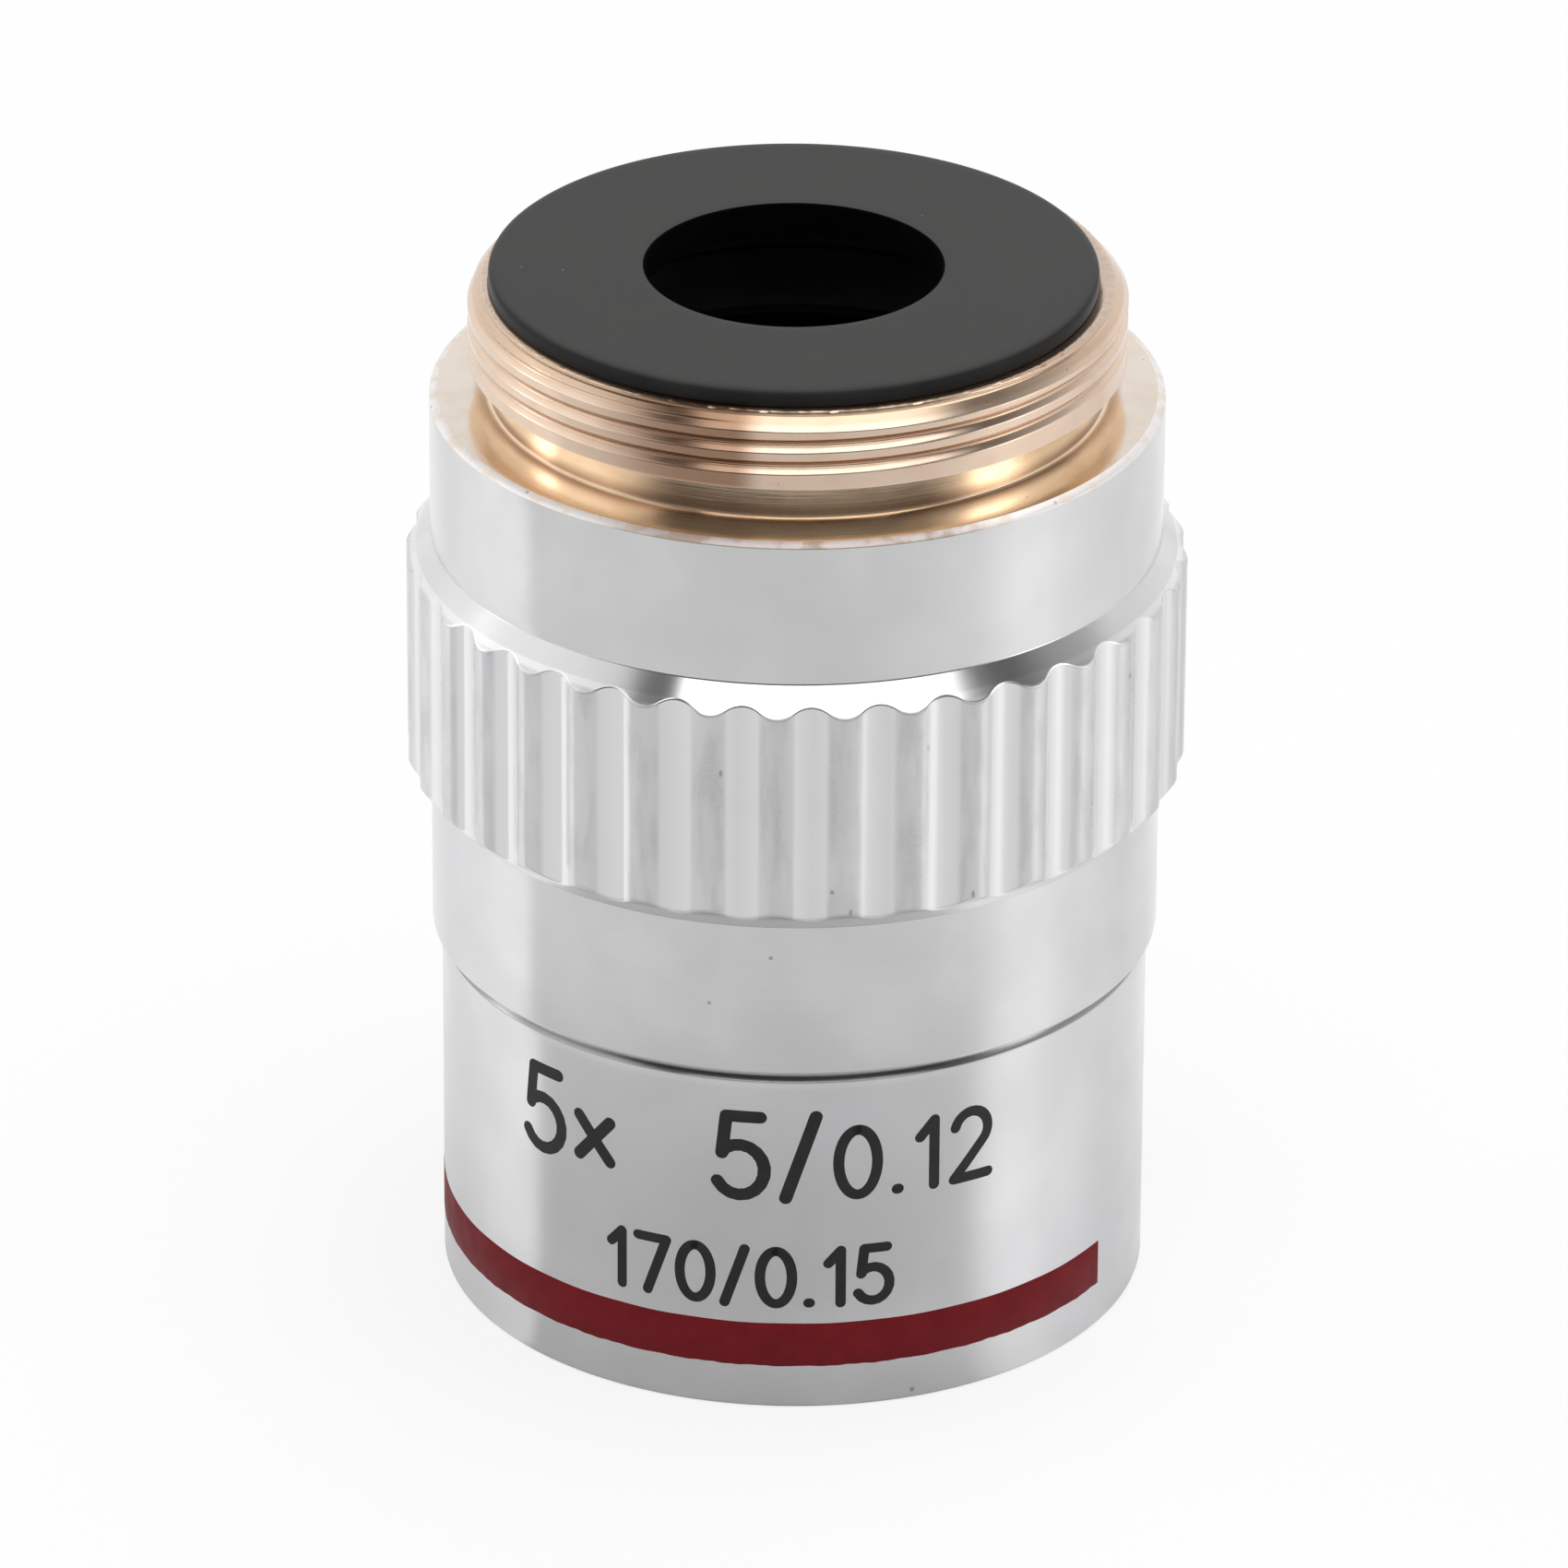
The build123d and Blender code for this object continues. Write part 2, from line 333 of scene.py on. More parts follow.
def worn_flutes(graph, at, colour, rough):
    """Colour and roughness of the fluted grip: bright grooves, a painted highlight on the lower slope,
    mottled and pitted ridges, and a top edge dulled by handling."""
    groove = graph.step(at.radius, GROOVE_RADIUS + 0.09, GROOVE_RADIUS + 0.18, 1.0, 0.0)
    groove = graph.times(groove, graph.step(at.radius, GROOVE_RADIUS - 0.06, GROOVE_RADIUS - 0.01))
    colour = graph.mix(graph.times(groove, 0.85), colour, grey(0.89))
    # Painted highlight: the grip's lower slope, which faces down, is painted near white
    slope = graph.within(at.z, GRIP_BOTTOM + 0.04, GRIP_BOTTOM + 0.5, 0.03)
    colour = graph.mix(graph.times(slope, 0.9), colour, grey(0.98))
    ridge = graph.step(at.radius, GRIP_RADIUS - 0.18, GRIP_RADIUS - 0.08)
    streaks = graph.step(graph.noise(graph.stretched(at.place, 0.22), 2.4, 5.0), 0.40, 0.66)
    mottle = graph.times(ridge, graph.blend(streaks, 0.25, 1.0))
    colour = graph.mix(graph.times(mottle, 0.48), colour, (0.57, 0.57, 0.575, 1))
    rough = graph.plus(rough, graph.times(mottle, 0.10))
    below_cone = graph.minus(GRIP_TOP + BODY_RADIUS, graph.plus(at.radius, at.z))
    handled = graph.times(graph.within(below_cone, 0.005, 0.06, 0.004), ridge)
    rough = graph.plus(rough, graph.times(handled, 0.30))
    pits = graph.times(graph.spots(graph.stretched(at.place, 0.5), 1.3, 0.11, 0.28), ridge)
    colour = graph.mix(graph.times(pits, 0.65), colour, grey(0.25))
    return colour, rough


def plating(name, light, dark, smooth, fluted, dents):
    """Satin chrome over turned brass, with faint clouds, turning marks, painted shade in the seam and a
    few small dents."""
    material, graph, surface = finish(name)
    at = Turned(graph)
    clouds = graph.step(graph.noise(at.place, 0.35, 4.0), 0.35, 0.68)
    colour = graph.mix(clouds, dark, light)
    lilac = graph.step(graph.noise(at.place, 0.16, 5.0), 0.55, 0.75, 0.0, 0.5)
    colour = graph.mix(lilac, colour, (light[0] * 0.985, light[1] * 0.955, light[2] * 1.01, 1))
    fine = graph.step(at.lines, 0.3, 0.7, -0.02, 0.03)
    rough = graph.plus(graph.blend(clouds, smooth * 1.15, smooth * 0.9), fine)
    if fluted:
        colour, rough = worn_flutes(graph, at, colour, rough)
    # Painted shade: the groove of the seam between body and sleeve is darkened towards its bottom
    seam = graph.within(at.z, SLEEVE_TOP - 0.12, SLEEVE_TOP + 0.24, 0.04)
    deep = graph.step(at.radius, BODY_RADIUS - 0.36, BODY_RADIUS - 0.10, 0.6, 0.0)
    colour = graph.mix(graph.times(seam, deep), colour, grey(0.05))
    for radius, angle, level, size in dents:
        turn = math.radians(angle)
        spot = (radius * math.sin(turn), -radius * math.cos(turn), level)
        away = graph.add("VectorMath", {0: at.place, 1: spot}, operation="DISTANCE").outputs["Value"]
        colour = graph.mix(graph.step(away, 0.4 * size, size, 0.6, 0.0), colour, grey(0.16))
    dress(graph, surface, 1.0, colour, rough, graph.bump(at.lines, 0.0012 * MM))
    along_the_cut(graph, surface, 0.5)
    return material


def bare_brass():
    """Turned brass with a thin clear film, painted shade by the shoulder's corner and painted light on
    faces that point down. The thread has darker roots, painted shade under its ridges and one dark sector
    left of the front."""
    material, graph, surface = finish("bare_brass")
    at = Turned(graph)
    stain = graph.step(graph.noise(at.place, 0.9, 5.0), 0.4, 0.75)
    plain = graph.mix(stain, (0.92, 0.76, 0.59, 1), (0.88, 0.70, 0.53, 1))
    cut = graph.mix(stain, (0.845, 0.655, 0.51, 1), (0.80, 0.60, 0.465, 1))
    threaded = graph.step(at.z, THREAD_START - 0.1, THREAD_START + 0.1)
    colour = graph.mix(threaded, plain, cut)
    # Painted shade: a band beside the corner where the relief wall meets the shoulder is darkened brown
    outward = graph.minus(at.radius, RELIEF_RADIUS)
    off = graph.math("MAXIMUM", outward, graph.minus(at.z, SHOULDER))
    corner = graph.times(graph.step(off, 0.06, 0.13), graph.step(off, 0.16, 0.55, 0.7, 0.0))
    colour = graph.mix(corner, colour, (0.42, 0.26, 0.16, 1))
    # The bottom of the thread's grooves is made a darker brass
    root = graph.step(at.radius, THREAD_RADIUS - 0.205, THREAD_RADIUS - 0.085, 1.0, 0.0)
    root_darkening = graph.times(graph.times(root, threaded), 0.6)
    colour = graph.mix(root_darkening, colour, (0.62, 0.42, 0.27, 1))
    lean = graph.upward()
    # Painted shade: faces under the ridges that point down are painted dark brown
    ridged = graph.step(at.z, LAND_TOP - 0.1, LAND_TOP)
    under = graph.times(ridged, graph.step(lean, -0.50, -0.15, 0.8, 0.0))
    colour = graph.mix(under, colour, (0.44, 0.20, 0.09, 1))
    # Painted light: faces that point straight down are painted pale, as if lit
    painted_light_below = graph.step(lean, -0.95, -0.80, 0.9, 0.0)
    colour = graph.mix(painted_light_below, colour, (0.97, 0.89, 0.78, 1))
    angle = graph.bearing(at.x, at.y)
    sector = graph.step(angle, math.radians(-42), math.radians(-20))
    sector = graph.times(sector, graph.step(angle, math.radians(-11), math.radians(-5), 1.0, 0.0))
    sector = graph.times(sector, graph.blend(threaded, 0.12, 0.88))
    colour = graph.mix(sector, colour, (0.30, 0.165, 0.095, 1))
    specks = graph.spots(at.place, 1.6, 0.09, 0.22)
    colour = graph.mix(graph.times(specks, 0.5), colour, (0.25, 0.15, 0.09, 1))
    rough = graph.blend(stain, 0.11, 0.16)
    rough = graph.plus(rough, graph.times(threaded, 0.07))
    rough = graph.plus(rough, graph.step(at.z, SHOULDER + 0.05, SHOULDER + 0.15, 0.03, 0.0))
    rough = graph.plus(rough, graph.step(at.lines, 0.3, 0.7, -0.02, 0.05))
    dress(graph, surface, 1.0, colour, rough, graph.bump(at.lines, 0.0016 * MM))
    surface.inputs["Coat Weight"].default_value = 0.35
    surface.inputs["Coat Roughness"].default_value = 0.15
    along_the_cut(graph, surface, 0.4)
    return material


def worn_plating():
    """Thin plating on the shoulder's edge, worn through to the brass in small spots, and with painted
    shade that makes it darker at the front."""
    material, graph, surface = finish("worn_edge")
    at = Turned(graph)
    worn = graph.step(graph.noise(at.place, 1.7, 5.0), 0.45, 0.62)
    colour = graph.mix(worn, (0.97, 0.93, 0.91, 1), (0.93, 0.84, 0.75, 1))
    # Painted shade: the edge is made darker at the front
    darker = graph.mix(worn, (0.50, 0.44, 0.42, 1), (0.40, 0.31, 0.25, 1))
    colour = graph.mix(graph.step(at.y, -10.6, -9.2, 0.85, 0.0), colour, darker)
    specks = graph.spots(at.place, 2.2, 0.2, 0.25)
    colour = graph.mix(graph.times(specks, 0.5), colour, (0.36, 0.26, 0.20, 1))
    grain = graph.bump(graph.noise(at.place, 5.0), 0.006 * MM)
    dress(graph, surface, 1.0, colour, graph.blend(worn, 0.48, 0.58), grain)
    return material


def matt_black(name, colour, rough, dusty_and_lit_top, haze, gloss):
    """Matt black finish with a fine grain, a haze at low angles and, where it lies open, some dust. Faces
    that point up get a lighter film, of settled dust and painted light.
    """
    material, graph, surface = finish(name)
    at = Turned(graph)
    clouds = graph.step(graph.noise(at.place, 0.5, 4.0), 0.3, 0.7)
    lighter = tuple(1.5 * part for part in colour[:3]) + (1,)
    shade = graph.mix(clouds, colour, lighter)
    if dusty_and_lit_top:
        # Faces that point up get a lighter film: partly settled dust, partly painted light on the top
        dust_and_top_light = graph.step(graph.upward(), 0.75, 0.98)
        film = graph.mix(clouds, (0.037, 0.036, 0.034, 1), (0.045, 0.044, 0.041, 1))
        shade = graph.mix(dust_and_top_light, shade, film)
        dust = graph.spots(at.place, 0.8, 0.045, 0.3)
        shade = graph.mix(graph.times(dust, 0.5), shade, (0.32, 0.32, 0.31, 1))
    grain = graph.bump(graph.noise(at.place, 14.0), 0.004 * MM)
    dress(graph, surface, 0.0, shade, graph.blend(clouds, rough - 0.04, rough + 0.04), grain)
    surface.inputs["Specular IOR Level"].default_value = gloss
    surface.inputs["Sheen Weight"].default_value = haze
    surface.inputs["Sheen Roughness"].default_value = 0.3
    return material


def paint(name, colour, deep, rough, gloss):
    """Filled paint with slight changes of tone."""
    material, graph, surface = finish(name)
    at = Turned(graph)
    tone = graph.step(graph.noise(at.place, 1.2, 4.0), 0.3, 0.7)
    grain = graph.bump(graph.noise(at.place, 6.0), 0.004 * MM)
    shade = graph.mix(tone, colour, deep)
    dress(graph, surface, 0.0, shade, graph.blend(tone, rough, rough + 0.08), grain)
    surface.inputs["Specular IOR Level"].default_value = gloss
    return material


def turned_brass(name, light, dark, rough):
    """Inner turned brass, plain or blackened."""
    material, graph, surface = finish(name)
    at = Turned(graph)
    stain = graph.step(graph.noise(at.place, 0.8, 4.0), 0.35, 0.7)
    uneven = graph.blend(stain, rough - 0.05, rough + 0.06)
    marks = graph.bump(at.lines, 0.002 * MM)
    dress(graph, surface, 1.0, graph.mix(stain, light, dark), uneven, marks)
    return material


def glass(name, tint, bend):
    """Polished lens glass with faint traces of dust."""
    material, graph, surface = finish(name)
    at = Turned(graph)
    dust = graph.step(graph.noise(at.place, 2.0, 5.0), 0.55, 0.8)
    graph.feed(surface.inputs["Base Color"], graph.mix(dust, tint, grey(0.9)))
    graph.feed(surface.inputs["Roughness"], graph.times(dust, 0.05))
    surface.inputs["Transmission Weight"].default_value = 1.0
    surface.inputs["IOR"].default_value = bend
    return material


chrome = plating("satin_chrome", grey(0.79), grey(0.74), 0.15, True, BODY_DENTS)
sleeve_chrome = plating(
    "sleeve_chrome", (0.80, 0.80, 0.805, 1), (0.75, 0.75, 0.755, 1), 0.17, False, SLEEVE_DENTS
)
brass = bare_brass()
anodised = matt_black("black_anodised", grey(0.012), 0.55, True, 0.33, 0.15)
blackened = matt_black("blackened_inside", grey(0.050), 0.7, False, 0.0, 0.15)
# Painted shade: the wall of the stop's hole gets a blacker, less glossy copy of the matt black
shaded_hole_black = matt_black("shaded_hole_black", grey(0.002), 0.8, False, 0.0, 0.02)
worn_edge = worn_plating()
red = paint("red_paint", (0.180, 0.010, 0.015, 1), (0.155, 0.008, 0.012, 1), 0.42, 0.10)
black = paint("black_paint", grey(0.010), grey(0.016), 0.5, 0.4)
inner_black = turned_brass("blackened_brass", (0.05, 0.045, 0.04, 1), (0.03, 0.027, 0.025, 1), 0.5)
inner_brass = turned_brass("plain_brass", (0.76, 0.58, 0.34, 1), (0.66, 0.47, 0.26, 1), 0.25)
crown = glass("crown_glass", (0.97, 0.99, 0.98, 1), 1.52)
flint = glass("flint_glass", (0.98, 0.98, 0.95, 1), 1.62)


def rounded(corners, steps=3):
    """Rows along an open profile of (radius, height, rounding, finish) corners. A finish holds from
    its corner to the next one."""
    rows = []
    for place, (radius, height, rounding, kind) in enumerate(corners):
        point = Vector((radius, height))
        if rounding == 0 or place in (0, len(corners) - 1):
            rows.append((radius, height, kind))
            continue
        before = Vector(corners[place - 1][:2]) - point
        after = Vector(corners[place + 1][:2]) - point
        half_turn = (math.pi - before.angle(after)) / 2
        reach = rounding * math.tan(half_turn)
        start = point + before.normalized() * min(reach, 0.45 * before.length)
        end = point + after.normalized() * min(reach, 0.45 * after.length)
        for step in range(steps + 1):
            share = step / steps
            at = start * (1 - share) ** 2 + point * (2 * share * (1 - share)) + end * share**2
            rows.append((at.x, at.y, kind))
    return rows


def angles_round(columns):
    return np.arange(columns) * (2 * math.pi / columns)


def turned_mesh(name, rows, columns, finishes):
    """Closed turned piece from its rows. A row's radius and height are numbers or one value a column.
    The rows run up the outside and down the inside."""
    angles = angles_round(columns)
    count = len(rows)
    points = np.zeros((count, columns, 3))
    for place, (radius, height, kind) in enumerate(rows):
        points[place, :, 0] = radius * np.sin(angles)
        points[place, :, 1] = -radius * np.cos(angles)
        points[place, :, 2] = height
    here = np.arange(count * columns).reshape(count, columns)
    above = np.roll(here, -1, axis=0)
    faces = np.stack([here, np.roll(here, -1, axis=1), np.roll(above, -1, axis=1), above], axis=-1)
    mesh = bpy.data.meshes.new(name)
    mesh.from_pydata((points.reshape(-1, 3) * MM).tolist(), [], faces.reshape(-1, 4).tolist())
    for material in finishes:
        mesh.materials.append(material)
    slots = [finishes.index(kind) for radius, height, kind in rows]
    mesh.polygons.foreach_set("material_index", np.repeat(slots, columns).astype(np.int32))
    return place_piece(name, mesh)


def place_piece(name, mesh):
    """Shaded object for a mesh, which moves with the object's one body."""
    mesh.update()
    mesh.shade_smooth()
    mesh.set_sharp_from_angle(angle=math.radians(40))
    piece = bpy.data.objects.new(name, mesh)
    bpy.context.scene.collection.objects.link(piece)
    weighted = piece.modifiers.new("weighted_normals", "WEIGHTED_NORMAL")
    weighted.keep_sharp = True
    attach(piece, "root")
    return piece


def flute_wave(angles):
    """Radius of the fluted grip at each angle: round ridges and grooves that run into each other."""
    step = 2 * math.pi / FLUTES
    turn = (GRIP_RADIUS + GROOVE_RADIUS) / 2
    turn_x = turn * math.cos(step / 4)
    turn_y = turn * math.sin(step / 4)
    ridge_rise = GRIP_RADIUS - turn_x
    groove_fall = turn_x - GROOVE_RADIUS
    ridge_round = (ridge_rise**2 + turn_y**2) / (2 * ridge_rise)
    groove_round = (groove_fall**2 + turn_y**2) / (2 * groove_fall)
    phase = (angles - math.radians(FIRST_RIDGE)) % step
    from_ridge = np.minimum(phase, step - phase)
    from_groove = step / 2 - from_ridge
    ridge_centre = GRIP_RADIUS - ridge_round
    groove_centre = GROOVE_RADIUS + groove_round
    ridge_arc = ridge_centre * np.cos(from_ridge) + np.sqrt(
        np.maximum(ridge_round**2 - (ridge_centre * np.sin(from_ridge)) ** 2, 0)
    )
    groove_arc = groove_centre * np.cos(from_groove) - np.sqrt(
        np.maximum(groove_round**2 - (groove_centre * np.sin(from_groove)) ** 2, 0)
    )
    return np.where(from_ridge < step / 4, ridge_arc, groove_arc)


def thread_form(height):
    """Depth below the crests, from 0 to 1, at a height above the upper edge of the plain land."""
    place = height % PITCH
    rise = place / THREAD_SLOPE
    fall = (2 * THREAD_SLOPE + THREAD_ROOT - place) / THREAD_SLOPE
    return np.where(height < 0, 0.0, np.clip(np.minimum(rise, fall), 0.0, 1.0))


def thread_radius(height, angles):
    """Radius of the thread at one height. The lowest groove runs out at the back."""
    above = height - LAND_TOP - PITCH * angles / (2 * math.pi)
    form = sum(thread_form(above + THREAD_BLUNT * step) for step in (-1, -0.5, 0, 0.5, 1)) / 5
    run_out = np.clip((angles + math.pi) / math.radians(RUN_OUT), 0.0, 1.0)
    run_out = run_out * run_out * (3 - 2 * run_out)
    form = np.where(above < PITCH, form * run_out, form)
    lead = THREAD_RADIUS - max(height - LEAD_START, 0)
    return np.minimum(THREAD_RADIUS - THREAD_DEPTH * form, lead)


def burr_wave(angles):
    """Uneven edge of the nose: how far it stands out at each angle."""
    wave = 0.5 * np.sin(37 * angles) * np.sin(11 * angles + 1) + 0.3 * np.sin(89 * angles + 2)
    return wave + 0.5 * np.sin(23 * angles + 1) * np.sin(171 * angles)


def mount_rows():
    """Rows of the mount piece: body, fluted grip, collar, shoulder, thread and bores."""
    angles = angles_round(MOUNT_COLUMNS)
    signed = (angles + math.pi) % (2 * math.pi) - math.pi
    rows = rounded(
        [
            (LOCK_BORE, SPIGOT_BOTTOM, 0, brass),
            (SPIGOT_RADIUS, SPIGOT_BOTTOM, 0.1, brass),
            (SPIGOT_RADIUS, SLEEVE_TOP, 0, chrome),
            (BODY_RADIUS - SEAM_CHAMFER, SLEEVE_TOP, 0, chrome),
            (BODY_RADIUS, SLEEVE_TOP + SEAM_CHAMFER, 0.06, chrome),
            (BODY_RADIUS, GRIP_BOTTOM - 0.5, 0, chrome),
            (BODY_RADIUS, GRIP_BOTTOM, 0, chrome),
        ]
    )
    wave = flute_wave(angles)
    rise = wave - BODY_RADIUS
    low = GRIP_BOTTOM + rise
    high = GRIP_TOP - rise
    for share in (0.5, 0.95, 1):
        inset = (rise - FLUTE_EDGE) * share
        rows.append((BODY_RADIUS + inset, GRIP_BOTTOM + inset, chrome))
    rows.append((wave - 0.3 * FLUTE_EDGE, low, chrome))
    rows.append((wave, low + FLUTE_EDGE, chrome))
    rows.append((wave, low + 4 * FLUTE_EDGE, chrome))
    for share in (0.25, 0.5, 0.75):
        rows.append((wave, low + (high - low) * share, chrome))
    rows.append((wave, high - 4 * FLUTE_EDGE, chrome))
    rows.append((wave, high - FLUTE_EDGE, chrome))
    rows.append((wave - 0.3 * FLUTE_EDGE, high, chrome))
    for share in (1, 0.95, 0.5):
        inset = (rise - FLUTE_EDGE) * share
        rows.append((BODY_RADIUS + inset, GRIP_TOP - inset, chrome))
    rows += rounded(
        [
            (BODY_RADIUS, GRIP_TOP, 0, chrome),
            (BODY_RADIUS - CORNER_CUT, GRIP_TOP + CORNER_CUT, 0, chrome),
            (BODY_RADIUS, GRIP_TOP + 2 * CORNER_CUT, 0.01, chrome),
            (BODY_RADIUS, GRIP_TOP + 0.5, 0, chrome),
            (BODY_RADIUS, SHOULDER - SHOULDER_CHAMFER - 0.4, 0, chrome),
            (BODY_RADIUS, SHOULDER - SHOULDER_CHAMFER, 0.05, worn_edge),
            (BODY_RADIUS - 0.12, SHOULDER - 0.075, 0, worn_edge),
            (BODY_RADIUS - SHOULDER_EDGE, SHOULDER - 0.025, 0.03, brass),
            (BODY_RADIUS - 0.50, SHOULDER - 0.012, 0, brass),
            (BODY_RADIUS - 0.75, SHOULDER - 0.004, 0, brass),
            (BODY_RADIUS - 1.0, SHOULDER, 0, brass),
            (RELIEF_RADIUS + 0.3, SHOULDER, 0, brass),
            (RELIEF_RADIUS, SHOULDER, 0.04, brass),
            (RELIEF_RADIUS, THREAD_START, 0.08, brass),
            (THREAD_RADIUS, THREAD_START, 0, brass),
        ]
    )
    first_row = THREAD_START + 0.02
    for place in range(THREAD_ROWS + 1):
        height = first_row + (LEAD_TOP - first_row) * place / THREAD_ROWS
        rows.append((thread_radius(height, signed), height, brass))
    burr = burr_wave(angles)
    for radius, height, uneven in (
        (NOSE_RADIUS, LEAD_TOP + 0.02, 0.0),
        (NOSE_RADIUS, MOUNT_END - 0.07, 0.0),
        (NOSE_RADIUS - 0.03, MOUNT_END - 0.02, 0.010),
        (NOSE_RADIUS - 0.10, MOUNT_END, 0.018),
        (NOSE_RADIUS - 0.22, MOUNT_END + 0.015, 0.022),
        (NOSE_RADIUS - 0.30, MOUNT_END - 0.01, 0.0),
    ):
        rows.append((radius + uneven * burr, height + 0.5 * uneven * burr, brass))
    rows += rounded(
        [
            (PLUG_BORE, MOUNT_END, 0, blackened),
            (PLUG_BORE, PLUG_BORE_END, 0, blackened),
            (PASSAGE_RADIUS, PLUG_BORE_END, 0.05, blackened),
            (PASSAGE_RADIUS, BARREL_BORE_END, 0, blackened),
            (BARREL_BORE, BARREL_BORE_END, 0, blackened),
            (BARREL_BORE, BARREL_SEAT, 0, blackened),
            (LOCK_BORE, BARREL_SEAT, 0, brass),
            (LOCK_BORE, SPIGOT_BOTTOM + 0.1, 0, brass),
        ]
    )
    return rows


mount = turned_mesh("mount_piece", mount_rows(), MOUNT_COLUMNS, [chrome, brass, blackened, worn_edge])
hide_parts("mount_body")

sleeve_rows = rounded(
    [
        (RIM_INSIDE, 0, 0, sleeve_chrome),
        (10.6, 0, 0, sleeve_chrome),
        (SLEEVE_RADIUS, 0, 0.12, sleeve_chrome),
        (SLEEVE_RADIUS, 0.5, 0, sleeve_chrome),
        (SLEEVE_RADIUS, SLEEVE_TOP - 0.4, 0, sleeve_chrome),
        (SLEEVE_RADIUS, SLEEVE_TOP - SLEEVE_CHAMFER, 0.02, sleeve_chrome),
        (SLEEVE_RADIUS - SLEEVE_CHAMFER, SLEEVE_TOP, 0, sleeve_chrome),
        (SLEEVE_BORE, SLEEVE_TOP, 0, inner_brass),
        (SLEEVE_BORE, LEDGE_TOP, 0.1, inner_brass),
        (MOUTH_RADIUS, LEDGE_TOP, 0, blackened),
        (MOUTH_RADIUS, RECESS_LEVEL, 0.05, sleeve_chrome),
        (RECESS_RADIUS, RECESS_LEVEL, 0.08, sleeve_chrome),
        (RIM_INSIDE, 0.001, 0, sleeve_chrome),
    ]
)
sleeve = turned_mesh("sleeve_piece", sleeve_rows, PLAIN_COLUMNS, [sleeve_chrome, inner_brass, blackened])
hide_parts("front_sleeve")

stop_rows = rounded(
    [
        (PLUG_RADIUS, PLUG_BOTTOM, 0, blackened),
        (PLUG_RADIUS, MOUNT_END, 0, anodised),
        (STOP_RADIUS, MOUNT_END, 0.03, anodised),
        (STOP_RADIUS, STOP_TOP, STOP_EDGE, anodised),
        (STOP_RADIUS - 0.6, STOP_TOP, 0, anodised),
        (STOP_HOLE + 0.4, STOP_TOP, 0, anodised),
        (STOP_HOLE, STOP_TOP, 0.06, shaded_hole_black),
        (STOP_HOLE, PLATE_BOTTOM, 0.05, shaded_hole_black),
        (SKIRT_RADIUS, PLATE_BOTTOM, 0.1, blackened),
        (SKIRT_RADIUS, PLUG_BOTTOM, 0, blackened),
    ],
    steps=5,
)
stop = turned_mesh("stop_piece", stop_rows, PLAIN_COLUMNS, [anodised, blackened, shaded_hole_black])

# The stop's flange and hole sit a little to the left of the axis
for vertex in stop.data.vertices:
    if vertex.co.z > (MOUNT_END - 0.01) * MM or vertex.co.xy.length < (STOP_HOLE + 0.5) * MM:
        vertex.co.x += STOP_OFFSET * MM
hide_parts("rear_stop")

# Finishes of the inner pieces, blackened brass unless named here
inside = {
    inner_brass: ["parfocal_shim", "barrel_lock_ring"],
    crown: ["middle_lens", "rear_crown_lens"],
    flint: ["front_lens", "rear_flint_lens"],
}
for node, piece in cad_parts.items():
    chosen = [material for material, names in inside.items() if node in names]
    piece.data.materials.clear()
    piece.data.materials.append(chosen[0] if chosen else inner_black)


def on_sleeve(along, height, lift):
    """Point on the sleeve from a length round it, a height and a lift off it."""
    angle = along / SLEEVE_RADIUS
    radius = SLEEVE_RADIUS + lift
    return (radius * math.sin(angle) * MM, -radius * math.cos(angle) * MM, height * MM)


def painted_piece(name, points, faces, material):
    mesh = bpy.data.meshes.new(name)
    mesh.from_pydata(points, [], faces)
    mesh.materials.append(material)
    return place_piece(name, mesh)


def colour_band():
    """Painted band round the sleeve, with slightly uneven edges and plain ends."""
    length = math.radians(360 - BAND_GAP) * SLEEVE_RADIUS
    end = math.radians(BAND_END) * SLEEVE_RADIUS
    points = []
    faces = []
    for place in range(BAND_STEPS + 1):
        along = end - length + length * place / BAND_STEPS
        ragged = 0.012 * math.sin(4.1 * along)
        ragged += 0.010 * math.sin(11.3 * along + 1) * math.sin(0.7 * along)
        low = BAND_BOTTOM + ragged
        high = BAND_TOP + 0.006 * math.sin(2.3 * along + 2)
        section = [
            (low - PAINT_LIP, PAINT_FOOT),
            (low + PAINT_LIP, PAINT_TOP),
            ((low + high) / 2, PAINT_TOP + 0.002),
            (high - PAINT_LIP, PAINT_TOP),
            (high + PAINT_LIP, PAINT_FOOT),
        ]
        points += [on_sleeve(along, height, lift) for height, lift in section]
    size = len(section)
    for place in range(BAND_STEPS):
        for side in range(size - 1):
            first = place * size + side
            faces.append((first, first + size, first + size + 1, first + 1))
    last = BAND_STEPS * size
    faces.append(tuple(range(size)))
    faces.append(tuple(reversed(range(last, last + size))))
    return painted_piece("colour_band", points, faces, red)


def arc(centre, radii, start, end, steps=14):
    """Points on part of an ellipse, between two angles in degrees."""
    turns = [math.radians(start + (end - start) * step / steps) for step in range(steps + 1)]
    return [(centre[0] + radii[0] * math.cos(t), centre[1] + radii[1] * math.sin(t)) for t in turns]


